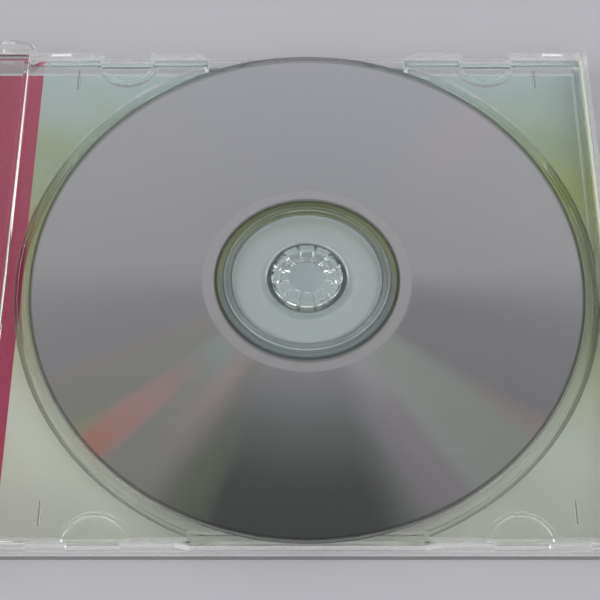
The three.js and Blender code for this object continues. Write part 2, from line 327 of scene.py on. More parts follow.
def start_material(name: str) -> tuple[bpy.types.Material, Graph, bpy.types.Node, bpy.types.Node]:
    """Makes an empty node material.

    Args:
        name: The material's name.

    Returns:
        The material, its graph, its Principled shader and its output node.
    """
    material = bpy.data.materials.new(name)
    material.use_nodes = True
    material.node_tree.nodes.clear()
    graph = Graph(material.node_tree)
    shader = graph.node("ShaderNodeBsdfPrincipled")
    output = graph.node("ShaderNodeOutputMaterial")
    graph.feed(output.inputs["Surface"], shader.outputs[0])
    return material, graph, shader, output


@dataclass(frozen=True)
class ToneRing:
    """A ring about the disc's axis where clear plastic gets painted shade, is clouded or is thin.

    Attributes:
        inner: Its inner radius in millimetres.
        outer: Its outer radius in millimetres.
        soft: Width of its fades in millimetres.
        amount: How strong it is, from 0 to 1.
    """

    inner: float
    outer: float
    soft: float
    amount: float

    def mask(self, graph: Graph, radius: bpy.types.NodeSocket) -> bpy.types.NodeSocket:
        """Makes a mask from 0 to the ring's amount, from the distance to the axis in metres."""
        ring = graph.window(radius, self.inner * MM, self.outer * MM, self.soft * MM)
        return graph.math("MULTIPLY", ring, self.amount)


@dataclass(frozen=True)
class ClearPlastic:
    """Clear moulded polystyrene or polycarbonate.

    Attributes:
        name: The material's name.
        tint: Colour of light that goes through.
        ior: How strongly light bends.
        polish: Roughness of the clean surface.
        scuffs: Strength of the hairline scuffs.
        waviness: Strength of the surface's soft unevenness.
        frosted: Where the upper surface is clouded.
        frost_rise: Heights in millimetres between which the clouding sets in.
        painted_shade_rings: Where painted shade darkens the plastic at its edges.
        thin_ring: Where part of the light goes straight through.
        rib_painted_shade: How strong the painted shade along the cores of the deck's ribs is.
        clearness: Share of light that isn't scattered in the plastic.
        straight_tint: Colour of light that goes straight through.
        deepest_bounce: After so many bounces a ray goes straight on.
    """

    name: str
    tint: RGB = (0.965, 0.975, 0.97)
    ior: float = 1.58
    polish: float = 0.02
    scuffs: float = 0.1
    waviness: float = 0.002
    frosted: ToneRing | None = None
    frost_rise: tuple[float, float] = (4.6, 4.9)
    painted_shade_rings: tuple[ToneRing, ...] = ()
    thin_ring: ToneRing | None = None
    rib_painted_shade: float = 0.0
    clearness: float = 0.985
    straight_tint: RGB = (0.94, 0.945, 0.94)
    deepest_bounce: float = 4.0

    def build(self, effects: Effects) -> bpy.types.Material:
        """Makes the material.

        Args:
            effects: The shared node groups.

        Returns:
            The material.
        """
        material, graph, shader, output = start_material(self.name)
        _, x, y, z = graph.place()
        radius = graph.radius(x, y)
        colour: object = self.tint
        # Painted shade: dark rings and dark rib cores mixed into the colour, where light bent at edges leaves
        # the plastic looking dark.
        for ring in self.painted_shade_rings:
            colour = graph.mix(ring.mask(graph, radius), colour, PAINTED_EDGE_SHADE)
        if self.rib_painted_shade > 0:
            colour = graph.mix(self._rib_painted_shade(graph, x, y, z), colour, PAINTED_EDGE_SHADE)
        graph.feed(shader.inputs["Base Color"], colour)
        shader.inputs["Transmission Weight"].default_value = self.clearness
        shader.inputs["IOR"].default_value = self.ior
        scuff = effects.use(graph, effects.scratches, Scale=45.0, Amount=self.scuffs)
        grain = effects.use(graph, effects.grain, Scale=70.0)
        rough = graph.math("MULTIPLY_ADD", scuff, 0.12, self.polish)
        rough = graph.math("MULTIPLY_ADD", grain, self.polish, rough)
        if self.frosted is not None:
            start, full = self.frost_rise
            high = graph.step(z, start * MM, full * MM)
            cloud = graph.math("MULTIPLY", high, self.frosted.mask(graph, radius))
            rough = graph.math("ADD", cloud, rough)
        graph.feed(shader.inputs["Roughness"], rough)
        bump = graph.node("ShaderNodeBump")
        bump.inputs["Strength"].default_value = self.waviness
        bump.inputs["Distance"].default_value = 0.2 * MM
        graph.feed(bump.inputs["Height"], grain)
        graph.feed(shader.inputs["Normal"], bump.outputs[0])
        self._let_through(graph, shader, output, radius)
        return material

    def _rib_painted_shade(
        self, graph: Graph, x: bpy.types.NodeSocket, y: bpy.types.NodeSocket, z: bpy.types.NodeSocket
    ) -> bpy.types.NodeSocket:
        """Masks the painted shade along the cores of the four ribs on the deck.

        Args:
            graph: The material's graph.
            x: Position along x in metres.
            y: Position along y in metres.
            z: Height in metres.

        Returns:
            A mask from 0 to the strength of the ribs' painted shade.
        """
        ribs = graph.step(z, RIB_FOOT * MM, (RIB_FOOT + 0.1) * MM)
        for value, middle, half in ((x, RIB_X, RIB_SHADE_CORE), (y, RIB_Y, RIB_HALF_LENGTH)):
            across = graph.math("ABSOLUTE", value)
            side = graph.window(across, (middle - half) * MM, (middle + half) * MM, 0.1 * MM)
            ribs = graph.math("MULTIPLY", ribs, side)
        return graph.math("MULTIPLY", ribs, self.rib_painted_shade)

    def _let_through(
        self, graph: Graph, shader: bpy.types.Node, output: bpy.types.Node, radius: bpy.types.NodeSocket
    ) -> None:
        """Lets light fall through clear walls onto the card, and lets out light caught between faces.

        Args:
            graph: The material's graph.
            shader: Its plastic shader.
            output: Its output node.
            radius: Distance from the disc's axis in metres.
        """
        light = graph.node("ShaderNodeLightPath")
        caught = graph.math("GREATER_THAN", light.outputs["Ray Depth"], self.deepest_bounce)
        through = graph.node("ShaderNodeBsdfTransparent")
        graph.feed(through.inputs["Color"], self.straight_tint)
        blend = graph.node("ShaderNodeMixShader")
        share = graph.math("MAXIMUM", light.outputs["Is Shadow Ray"], caught)
        if self.thin_ring is not None:
            share = graph.math("MAXIMUM", share, self.thin_ring.mask(graph, radius))
        graph.feed(blend.inputs[0], share)
        graph.feed(blend.inputs[1], shader.outputs[0])
        graph.feed(blend.inputs[2], through.outputs[0])
        graph.feed(output.inputs["Surface"], blend.outputs[0])


@dataclass(frozen=True)
class ReflectionWedge:
    """One fan of painted reflection on the disc, a rainbow tint or a darker fan. Angles in degrees from +x,
    radii in millimetres.

    Attributes:
        centre: Direction of its middle.
        half_width: Half its opening.
        soft: Width of its fades.
        colour: Its colour.
        strength: How much of it shows, from 0 to 1.
        starts: Radius at which it begins.
        full: Radius at which it has its full strength.
    """

    centre: float
    half_width: float
    soft: float
    colour: RGB
    strength: float
    starts: float = 18.0
    full: float = 24.0

    def lay(
        self, graph: Graph, under: object, place: tuple[bpy.types.NodeSocket, ...]
    ) -> bpy.types.NodeSocket:
        """Lays the wedge over a colour.

        Args:
            graph: The material's graph.
            under: The colour below.
            place: x, y and the distance from the axis, in metres.

        Returns:
            The mixed colour.
        """
        x, y, radius = place
        a = math.radians(self.centre)
        along = graph.math("MULTIPLY_ADD", x, math.cos(a), graph.math("MULTIPLY", y, math.sin(a)))
        facing = graph.math("DIVIDE", along, graph.math("MAXIMUM", radius, 1e-6))
        outer = math.cos(math.radians(self.half_width + self.soft / 2))
        inner = math.cos(math.radians(max(self.half_width - self.soft / 2, 0.02)))
        fan = graph.step(facing, outer, inner)
        reach = graph.step(radius, self.starts * MM, self.full * MM)
        mask = graph.math("MULTIPLY", graph.math("MULTIPLY", fan, reach), self.strength)
        return graph.mix(mask, under, self.colour)


@dataclass(frozen=True)
class MirrorLayer:
    """Metal layer of the disc with painted reflections: fans of the rainbow colour that its fine spiral
    splits light into, and grey to near-black fans of darker reflection.

    Attributes:
        name: The material's name.
        painted_reflections: Its fans of painted reflection, laid over each other in this order.
        base: Colour of the metal.
        band: Colour of the polished band beside the hub, where no data is written.
        band_share: How much of that colour shows, from 0 to 1.
        data_start: Radius in millimetres where the band ends.
        roughness: How blurred its reflections are.
    """

    name: str
    painted_reflections: tuple[ReflectionWedge, ...]
    base: RGB = (0.8, 0.8, 0.81)
    band: RGB = (0.88, 0.855, 0.865)
    band_share: float = 0.85
    data_start: float = 22.5
    roughness: float = 0.2

    def build(self, effects: Effects) -> bpy.types.Material:
        """Makes the material.

        Args:
            effects: The shared node groups.

        Returns:
            The material.
        """
        material, graph, shader, _ = start_material(self.name)
        _, x, y, _ = graph.place()
        radius = graph.radius(x, y)
        colour: object = self.base
        for wedge in self.painted_reflections:
            colour = wedge.lay(graph, colour, (x, y, radius))
        band = graph.step(radius, (self.data_start + 0.25) * MM, (self.data_start - 0.25) * MM)
        colour = graph.mix(graph.math("MULTIPLY", band, self.band_share), colour, self.band)
        graph.feed(shader.inputs["Base Color"], colour)
        shader.inputs["Metallic"].default_value = 1.0
        scuff = effects.use(graph, effects.scratches, Scale=30.0, Amount=0.4)
        graph.feed(shader.inputs["Roughness"], graph.math("MULTIPLY_ADD", scuff, 0.05, self.roughness))
        return material


@dataclass(frozen=True)
class PrintedCard:
    """Satin printed card with soft fields of colour and a strong band at the spine.

    Attributes:
        name: The material's name.
        band: Colour of the band.
        band_edge: Where the band ends along x, in millimetres.
        fields: Colours from front to back.
        accent: Colour of the soft patches.
        back: Colour of the underside.
        centre: Colour of the field behind the hub.
        panel: Colour of the folded panel at the opening side.
        lines_x: Reach of the printed rows on the underside along x, in millimetres.
        lines_y: Their reach along y.
        centre_radius: Radius of the field behind the hub.
        panel_x: Where the folded panel begins.
        span: Front and back edge of the sheet.
        line_pitch: Distance from row to row.
        fade: Half the width over which the band's edge fades.
    """

    name: str
    band: RGB
    band_edge: float
    fields: tuple[Stop, ...]
    accent: RGB
    back: RGB
    centre: RGB
    panel: RGB
    lines_x: tuple[float, float]
    lines_y: tuple[float, float]
    centre_radius: float = 19.0
    panel_x: float = 63.9
    span: tuple[float, float] = (-59.0, 59.0)
    line_pitch: float = 6.0
    fade: float = 0.08

    def build(self, effects: Effects) -> bpy.types.Material:
        """Makes the material.

        Args:
            effects: The shared node groups.

        Returns:
            The material.
        """
        material, graph, shader, _ = start_material(self.name)
        place = graph.place()[:3]
        edge = self.band_edge
        band = graph.step(place[1], (edge + self.fade) * MM, (edge - self.fade) * MM)
        front = graph.mix(band, self._front(graph, place), self.band)
        back = graph.mix(band, self._back(graph, place), self.band)
        facing = graph.node("ShaderNodeSeparateXYZ")
        graph.feed(facing.inputs[0], graph.node("ShaderNodeNewGeometry").outputs["Normal"])
        colour = graph.mix(graph.step(facing.outputs["Z"], -0.4, -0.6), front, back)
        grain = effects.use(graph, effects.grain, Scale=1500.0)
        colour = graph.mix(graph.math("MULTIPLY", grain, 0.08), colour, (0.9, 0.9, 0.88))
        graph.feed(shader.inputs["Base Color"], colour)
        graph.feed(shader.inputs["Roughness"], graph.math("MULTIPLY_ADD", grain, 0.15, 0.38))
        shader.inputs["Specular IOR Level"].default_value = 0.4
        bump = graph.node("ShaderNodeBump")
        bump.inputs["Strength"].default_value = 0.08
        bump.inputs["Distance"].default_value = 0.05 * MM
        graph.feed(bump.inputs["Height"], grain)
        graph.feed(shader.inputs["Normal"], bump.outputs[0])
        return material

    def _front(self, graph: Graph, place: tuple[bpy.types.NodeSocket, ...]) -> bpy.types.NodeSocket:
        """Prints the upper side: wavy fields, soft patches, the field behind the hub and the panel.

        Args:
            graph: The material's graph.
            place: The position, then its x and y, in metres.

        Returns:
            The colour.
        """
        spot, x, y = place
        low, high = self.span
        wobble = graph.math("MULTIPLY", graph.math("SUBTRACT", graph.noise(spot, 18.0, 2.0), 0.5), 0.45)
        along = graph.math("DIVIDE", graph.math("SUBTRACT", y, low * MM), (high - low) * MM)
        colour = graph.ramp(graph.math("ADD", along, wobble), self.fields, smooth=True)
        patch = graph.step(graph.noise(spot, 26.0, 1.0), 0.5, 0.68)
        colour = graph.mix(graph.math("MULTIPLY", patch, 0.35), colour, self.accent)
        rim = self.centre_radius
        middle = graph.step(graph.radius(x, y), (rim + 1.0) * MM, (rim - 1.0) * MM)
        colour = graph.mix(middle, colour, self.centre)
        panel = graph.step(x, (self.panel_x - 0.1) * MM, (self.panel_x + 0.1) * MM)
        return graph.mix(panel, colour, self.panel)

    def _back(self, graph: Graph, place: tuple[bpy.types.NodeSocket, ...]) -> bpy.types.NodeSocket:
        """Prints the underside: rows of small blocks in the band's colour.

        Args:
            graph: The material's graph.
            place: The position, then its x and y, in metres.

        Returns:
            The colour.
        """
        spot, x, y = place
        row = graph.math("FRACT", graph.math("DIVIDE", y, self.line_pitch * MM))
        lines = graph.window(row, 0.3, 0.55, 0.03)
        for value, (start, stop) in ((x, self.lines_x), (y, self.lines_y)):
            lines = graph.math("MULTIPLY", lines, graph.window(value, start * MM, stop * MM, 0.2 * MM))
        word = graph.step(graph.noise(spot, 180.0, 0.0), 0.42, 0.44)
        return graph.mix(graph.math("MULTIPLY", lines, word), self.back, self.band)


@dataclass(frozen=True)
class Paper:
    """Plain paper, lacquer or wire with a fine grain.

    Attributes:
        name: The material's name.
        colour: Its colour where the grain is low.
        shade: Its colour where the grain is high.
        roughness: How matt it is.
        grain_scale: How fine its grain is, per metre.
    """

    name: str
    colour: RGB
    shade: RGB
    roughness: float = 0.5
    grain_scale: float = 900.0

    def build(self, effects: Effects) -> bpy.types.Material:
        """Makes the material.

        Args:
            effects: The shared node groups.

        Returns:
            The material.
        """
        material, graph, shader, _ = start_material(self.name)
        grain = effects.use(graph, effects.grain, Scale=self.grain_scale)
        graph.feed(shader.inputs["Base Color"], graph.mix(grain, self.colour, self.shade))
        graph.feed(shader.inputs["Roughness"], graph.math("MULTIPLY_ADD", grain, 0.15, self.roughness))
        return material


def add_mesh(
    name: str,
    points: list[Point],
    faces: list[tuple[int, ...]],
    material: bpy.types.Material,
    sharp: float = 35.0,
) -> bpy.types.Object:
    """Adds one mesh object, its points in millimetres.

    Args:
        name: The piece's name.
        points: Corner points.
        faces: Point numbers of each face, facing out.
        material: The piece's material.
        sharp: Angle in degrees above which an edge stays sharp.

    Returns:
        The object.
    """
    mesh = bpy.data.meshes.new(name)
    mesh.from_pydata([(x * MM, y * MM, z * MM) for x, y, z in points], [], faces)
    mesh.validate()
    mesh.materials.append(material)
    mesh.shade_smooth()
    mesh.set_sharp_from_angle(angle=math.radians(sharp))
    piece = bpy.data.objects.new(name, mesh)
    bpy.context.scene.collection.objects.link(piece)
    return piece


def turned_mesh(
    name: str, outline: Outline, material: bpy.types.Material, segments: int
) -> bpy.types.Object:
    """Turns a closed outline about the z axis.

    Args:
        name: The piece's name.
        outline: Radius and height of each point, counterclockwise.
        material: The piece's material.
        segments: How many steps the circle has.

    Returns:
        The object.
    """
    points = []
    faces = []
    count = len(outline)
    for i in range(segments):
        a = 2 * math.pi * i / segments
        points += [(r * math.cos(a), r * math.sin(a), z) for r, z in outline]
    for i in range(segments):
        j = (i + 1) % segments
        for k in range(count):
            m = (k + 1) % count
            faces.append((i * count + k, j * count + k, j * count + m, i * count + m))
    return add_mesh(name, points, faces, material)


def rounded(outline: Outline, radii: tuple[float, ...], steps: int = 6) -> Outline:
    """Rounds the corners of a closed outline.

    Args:
        outline: The corner points in order.
        radii: The rounding of each corner; 0 leaves it sharp.
        steps: How many short edges a rounded corner has.

    Returns:
        The new outline.
    """
    made = []
    count = len(outline)
    for i, radius in enumerate(radii):
        here = Vector(outline[i])
        if radius <= 0:
            made.append(tuple(here))
            continue
        before = Vector(outline[i - 1]) - here
        after = Vector(outline[(i + 1) % count]) - here
        cut = min(radius, before.length * 0.49, after.length * 0.49)
        start = here + before.normalized() * cut
        end = here + after.normalized() * cut
        for s in range(steps + 1):
            t = s / steps
            made.append(tuple((1 - t) ** 2 * start + 2 * t * (1 - t) * here + t**2 * end))
    return made


@dataclass
class Disc:
    """The disc: clear body, metal layer and printed lacquer. Sizes in millimetres.

    Attributes:
        radius: Radius of the clear body.
        bore: Radius of its bore.
        low: Height of its underside.
        high: Height of its top.
        metal_inner: Inner radius of the metal layer and the print.
        metal_outer: Their outer radius.
        metal: Underside and top of the metal layer.
        label: Underside and top of the print.
        rounding: Rounding of the body's outline, corner by corner.
        ring: Radii of the raised stacking ring.
        ring_height: How far that ring stands up.
        seat_gap: Gap between the body and what it rests on.
        steps: How many steps its circles have.
    """

    radius: float = 60.0
    bore: float = 7.5
    low: float = 6.0
    high: float = 7.2
    metal_inner: float = 19.9
    metal_outer: float = 59.1
    metal: tuple[float, float] = (6.08, 6.12)
    label: tuple[float, float] = (5.95, 5.995)
    rounding: tuple[float, ...] = (0.2, 0.45, 0.5, 0.1, 0.1, 0.1, 0.1, 0.12)
    ring: tuple[float, float] = (16.9, 17.7)
    ring_height: float = 0.22
    seat_gap: float = 0.02
    steps: int = 384

    def build(self, effects: Effects) -> list[bpy.types.Object]:
        """Makes the disc's pieces.

        Args:
            effects: The shared node groups.

        Returns:
            The pieces.
        """
        clear = ClearPlastic(
            "clear_disc_body", tint=(0.985, 0.99, 0.99), scuffs=0.15, polish=0.006, clearness=1.0,
            # Painted shade: dark rings at the bore, round the stacking ring and at the metal layer's inner
            # and outer edges, where light bent in the clear body leaves it dark.
            painted_shade_rings=(
                ToneRing(19.3, 20.0, 0.25, 0.85), ToneRing(17.9, 18.2, 0.2, 0.55),
                ToneRing(16.3, 20.0, 0.4, 0.2), ToneRing(16.1, 16.45, 0.2, 0.6),
                ToneRing(7.3, 8.6, 0.25, 0.95), ToneRing(59.0, 59.6, 0.2, 0.8),
            ),
        )
        inner, outer = self.ring
        low = self.low + self.seat_gap
        outline = [
            (self.bore, low), (self.radius, low), (self.radius, self.high),
            (outer + 0.1, self.high), (outer - 0.1, self.high + self.ring_height),
            (inner + 0.1, self.high + self.ring_height), (inner - 0.1, self.high), (self.bore, self.high),
        ]
        outline = rounded(outline, self.rounding)
        body = turned_mesh("disc_clear_body", outline, clear.build(effects), self.steps)
        mirror = self.mirror().build(effects)
        metal = turned_mesh("disc_metal_layer", self._ring_outline(*self.metal), mirror, self.steps)
        lacquer = Paper("label_lacquer", srgb("D9D6DC"), srgb("C9C6D2"), 0.35, 300.0).build(effects)
        label = turned_mesh("disc_label_print", self._ring_outline(*self.label), lacquer, self.steps // 2)
        pieces = [body, metal, label]
        for piece in pieces:
            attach(piece, Body.CASE.value)
        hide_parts("disc")
        return pieces

    def _ring_outline(self, low: float, high: float) -> Outline:
        """Outlines one thin layer from its underside to its top, counterclockwise."""
        inner, outer = self.metal_inner, self.metal_outer
        return [(inner, low), (outer, low), (outer, high), (inner, high)]

    @staticmethod
    def mirror() -> MirrorLayer:
        """Gives the metal layer its painted reflections: rainbow fans and darker fans.

        Returns:
            The finish.
        """
        # Painted reflections: the fans lay rainbow tints and grey to near-black darkening on the metal,
        # darkest in the fan towards the front.
        return MirrorLayer("disc_mirror_layer", (
            ReflectionWedge(82, 44, 44, (0.79, 0.8, 0.86), 0.5),
            ReflectionWedge(47, 5, 9, (0.88, 0.79, 0.84), 0.45, 28, 45),
            ReflectionWedge(202, 9, 38, (0.57, 0.56, 0.57), 0.72),
            ReflectionWedge(205, 0.4, 2, (0.9, 0.6, 0.55), 0.35),
            ReflectionWedge(226, 20, 10, (0.64, 0.64, 0.58), 0.85),
            ReflectionWedge(224, 6, 9, (0.68, 0.84, 0.8), 0.5, 38, 24),
            ReflectionWedge(236, 4, 8, (0.92, 0.7, 0.74), 0.4, 58, 30),
            ReflectionWedge(221.5, 2.4, 6.5, (1.0, 0.66, 0.66), 0.85, 24, 50),
            ReflectionWedge(221.5, 1.6, 5, (1.0, 0.54, 0.4), 0.8, 40, 60),
            ReflectionWedge(217, 1.4, 3, (0.72, 0.76, 0.48), 0.5, 48, 58),
            ReflectionWedge(267, 23, 20, (0.22, 0.23, 0.225), 1.0, 4, 55),
            ReflectionWedge(246, 3, 6, (0.42, 0.47, 0.33), 0.5, 26, 50),
            ReflectionWedge(334, 10, 42, (0.45, 0.43, 0.45), 0.7),
            ReflectionWedge(299, 3.5, 9, (0.56, 0.47, 0.51), 0.5, 20, 40),
            ReflectionWedge(314, 8, 10, (0.7, 0.77, 0.7), 0.85),
            ReflectionWedge(323, 1.2, 6, (0.84, 0.58, 0.54), 0.3, 30, 58),
        ))


def merged(mesh: bpy.types.Mesh) -> bmesh.types.BMesh:
    """Opens a mesh for editing, with doubled points merged and flat faces joined.

    Args:
        mesh: The mesh.

    Returns:
        Its editable copy.
    """
    work = bmesh.new()
    work.from_mesh(mesh)
    bmesh.ops.remove_doubles(work, verts=work.verts, dist=0.002 * MM)
    bmesh.ops.dissolve_limit(work, angle_limit=math.radians(0.6), verts=work.verts, edges=work.edges)
    return work


def stand_in(
    mesh: bpy.types.Mesh, material: bpy.types.Material, body: Body, node: str
) -> bpy.types.Object:
    """Adds a reshaped copy of a solid's mesh in place of that solid.

    Args:
        mesh: The reshaped copy.
        material: Its material.
        body: The body that it rides on.
        node: The solid's name.

    Returns:
        The piece.
    """
    mesh.materials.clear()
    mesh.materials.append(material)
    piece = bpy.data.objects.new(mesh.name, mesh)
    bpy.context.scene.collection.objects.link(piece)
    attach(piece, body.value)
    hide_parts(node)
    return piece


@dataclass(frozen=True)
class SoftSpot:
    """A box in millimetres whose edges are rounded by a width of their own."""

    low: Point
    high: Point
    width: float

    def holds(self, edge: bmesh.types.BMEdge) -> bool:
        """Tells whether both ends of an edge lie in the box.

        Args:
            edge: The edge.

        Returns:
            True if they do.
        """
        return all(
            low * MM <= value <= high * MM
            for corner in edge.verts
            for value, low, high in zip(corner.co, self.low, self.high)
        )


@dataclass
class ClearMoulding:
    """One clear moulding: the solid of the same shape with its edges softened.

    Attributes:
        node: The solid that it stands in for.
        body: The body that it rides on.
        slot: Name of its material slot; not used.
        finish: Its plastic.
        spots: Places whose edges have a rounding of their own.
        edge: Rounding of all other edges in millimetres.
        bend: Edges that bend by more degrees than this are rounded.
        sharp: Edges that bend by more degrees than this stay crisp.
    """

    node: str
    body: Body
    slot: str
    finish: ClearPlastic
    spots: tuple[SoftSpot, ...] = ()
    edge: float = 0.16
    bend: float = 28.0
    sharp: float = 50.0

    def build(self, effects: Effects) -> list[bpy.types.Object]:
        """Makes the moulding.

        Args:
            effects: The shared node groups.

        Returns:
            The piece.
        """
        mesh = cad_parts[self.node].data.copy()
        mesh.name = f"{self.node}_shell"
        self._soften(mesh)
        mesh.shade_smooth()
        mesh.set_sharp_from_angle(angle=math.radians(self.sharp))
        piece = stand_in(mesh, self.finish.build(effects), self.body, self.node)
        piece.modifiers.new("even_normals", "WEIGHTED_NORMAL").keep_sharp = True
        return [piece]

    def _soften(self, mesh: bpy.types.Mesh) -> None:
        """Merges flat faces and rounds the edges, each soft spot by its own width.

        Args:
            mesh: The mesh, changed in place.
        """
        work = merged(mesh)
        groups: dict[float, list[bmesh.types.BMEdge]] = {}
        for edge in work.edges:
            if len(edge.link_faces) == 2 and edge.calc_face_angle(0.0) > math.radians(self.bend):
                width = next((spot.width for spot in self.spots if spot.holds(edge)), self.edge)
                groups.setdefault(width, []).append(edge)
        for width, edges in sorted(groups.items(), reverse=True):
            bmesh.ops.bevel(
                work, geom=[edge for edge in edges if edge.is_valid], offset=width * MM, offset_type="OFFSET",
                segments=3, profile=0.5, affect="EDGES", clamp_overlap=True,
            )
        work.to_mesh(mesh)
        work.free()


@dataclass
class InlayCard:
    """The printed card under the tray. Sizes in millimetres.

    Attributes:
        band_edge: Where the strong band of colour ends.
        slack: How far the card keeps from the walls that hold it.
        crease: Rounding of its folds and edges.
        bend: Edges that bend by more radians than this are rounded.
    """

    band_edge: float = -62.2
    slack: float = 0.03
    crease: float = 0.06
    bend: float = 0.5

    def build(self, effects: Effects) -> list[bpy.types.Object]:
        """Makes the card with its two folded spine panels.

        Args:
            effects: The shared node groups.

        Returns:
            The card.
        """
        fields = (
            (0.0, srgb("B7B9B0")), (0.2, srgb("D1D5C6")), (0.46, srgb("BDC597")),
            (0.72, srgb("A1AE66")), (0.86, srgb("9CAC8C")), (1.0, srgb("ADBEBF")),
        )
        finish = PrintedCard(
            "printed_card", band=srgb("A5064B"), band_edge=self.band_edge, fields=fields,
            accent=srgb("A3AFAC"), back=srgb("B7C0AE"), centre=srgb("A8B4B7"), panel=srgb("DDE4D0"),
            lines_x=(-40.0, 40.0), lines_y=(-36.0, 36.0),
        )
        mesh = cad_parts["inlay_card"].data.copy()
        mesh.name = "inlay_card_sheet"
        self._ease(mesh)
        return [stand_in(mesh, finish.build(effects), Body.CASE, "inlay_card")]

    def _ease(self, mesh: bpy.types.Mesh) -> None:
        """Draws the card in from the walls that hold it and creases its folds.

        Args:
            mesh: The mesh, changed in place.
        """
        work = merged(mesh)
        for corner in work.verts:
            corner.co -= corner.normal * self.slack * MM
        inner = [edge for edge in work.edges if len(edge.link_faces) == 2]
        edges = [edge for edge in inner if edge.calc_face_angle(0.0) > self.bend]
        bmesh.ops.bevel(
            work, geom=edges, offset=self.crease * MM, offset_type="OFFSET",
            segments=2, profile=0.5, affect="EDGES", clamp_overlap=True,
        )
        work.to_mesh(mesh)
        work.free()


@dataclass
class Booklet:
    """The stapled booklet behind the lid's tabs: two folded sheets, one inside the other. Millimetres.

    Attributes:
        free_edge: Where the sheets end, along x.
        fold: Where they are folded.
        half_depth: Half their depth along y.
        low: Height of the booklet's underside.
        high: Height of its top.
        paper: Thickness of a sheet.
        nesting: Gap between the two sheets.
        staple_spacing: How far each staple is from the middle.
        staple_length: Length of a staple.
        staple_wire: Thickness of its wire.
        staple_inset: How far it lies inside the fold.
    """

    free_edge: float = -201.3
    fold: float = -81.3
    half_depth: float = 60.0
    low: float = 1.21
    high: float = 1.69
    paper: float = 0.11
    nesting: float = 0.013
    staple_spacing: float = 30.0
    staple_length: float = 11.0
    staple_wire: float = 0.1
    staple_inset: float = 0.05

    def build(self, effects: Effects) -> list[bpy.types.Object]:
        """Makes the sheets and the two staples.

        Args:
            effects: The shared node groups.

        Returns:
            The pieces.
        """
        fields = (
            (0.0, srgb("B4B9AA")), (0.3, srgb("AEBAA2")), (0.55, srgb("A3B596")),
            (0.8, srgb("9FB7AC")), (1.0, srgb("A6BCB8")),
        )
        print_finish = PrintedCard(
            "booklet_print", band=srgb("8E2C52"), band_edge=-196.0, fields=fields,
            accent=srgb("C2AEB6"), back=srgb("AEBAAC"), centre=srgb("A6B3BC"), panel=srgb("DDE4D0"),
            lines_x=(-185.0, -120.0), lines_y=(-20.0, 20.0),
        ).build(effects)
        outer = self._sheet("booklet_cover", 0.0, print_finish)
        stock = Paper("booklet_paper_stock", srgb("D6D6CE"), srgb("CACBC4")).build(effects)
        inner = self._sheet("booklet_inner_sheet", self.paper + self.nesting, stock)
        wire = Paper("staple_wire", srgb("A8A8AC"), srgb("8C8C90"), 0.25, 3000.0).build(effects)
        pieces = [outer, inner]
        for end, label in ((-1, "front"), (1, "back")):
            pieces.append(self._staple(f"booklet_staple_{label}", end * self.staple_spacing, wire))
        for piece in pieces:
            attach(piece, Body.LID.value)
        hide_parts("booklet")
        return pieces

    def _sheet(self, name: str, inset: float, material: bpy.types.Material) -> bpy.types.Object:
        """Makes one sheet folded over at the hinge side.

        Args:
            name: The piece's name.
            inset: How far it lies inside the cover.
            material: Its material.

        Returns:
            The sheet.
        """
        low, high = self.low + inset, self.high - inset
        middle, bend = (low + high) / 2, (high - low) / 2
        outside = [(self.free_edge + inset, low)]
        inside = [(self.free_edge + inset, low + self.paper)]
        steps = 8
        for i in range(steps + 1):
            a = math.pi * (i / steps - 0.5)
            centre = self.fold - bend - inset
            small = max(bend - self.paper, 0.01)
            outside.append((centre + bend * math.cos(a), middle + bend * math.sin(a)))
            inside.append((centre + small * math.cos(a), middle + small * math.sin(a)))
        outside.append((self.free_edge + inset, high))
        inside.append((self.free_edge + inset, high - self.paper))
        ring = outside + inside[::-1]
        count = len(ring)
        points = [(x, y, z) for y in (-self.half_depth, self.half_depth) for x, z in ring]
        faces = [(i, count + i, count + (i + 1) % count, (i + 1) % count) for i in range(count)]
        half = len(outside)
        for i in range(half - 1):
            quad = (i, i + 1, count - 2 - i, count - 1 - i)
            faces.append(quad)
            faces.append(tuple(count + k for k in reversed(quad)))
        return add_mesh(name, points, faces, material)

    def _staple(self, name: str, y: float, material: bpy.types.Material) -> bpy.types.Object:
        """Makes one staple that lies along the fold inside the cover.

        Args:
            name: The piece's name.
            y: Its middle.
            material: Its material.

        Returns:
            The staple.
        """
        x, z, r = self.fold - self.staple_inset, (self.low + self.high) / 2, self.staple_wire / 2
        sides = 8
        points = []
        for end in (-self.staple_length / 2, self.staple_length / 2):
            for i in range(sides):
                a = 2 * math.pi * i / sides
                points.append((x + r * math.cos(a), y + end, z + r * math.sin(a)))
        faces = [(i, sides + i, sides + (i + 1) % sides, (i + 1) % sides) for i in range(sides)]
        faces += [tuple(range(sides)), tuple(range(2 * sides - 1, sides - 1, -1))]
        return add_mesh(name, points, faces, material)


@dataclass(frozen=True)
class Lamp:
    """A round soft lamp that points at the object. Lengths in metres, power in watts."""

    name: str
    place: Point
    size: float
    power: float

    def build(self) -> None:
        """Hangs the lamp."""
        data = bpy.data.lights.new(self.name, "AREA")
        data.shape = "DISK"
        data.size = self.size
        data.energy = self.power
        lamp = bpy.data.objects.new(self.name, data)
        bpy.context.scene.collection.objects.link(lamp)
        lamp.location = self.place
        lamp.rotation_euler = (-Vector(self.place)).to_track_quat("-Z", "Y").to_euler()


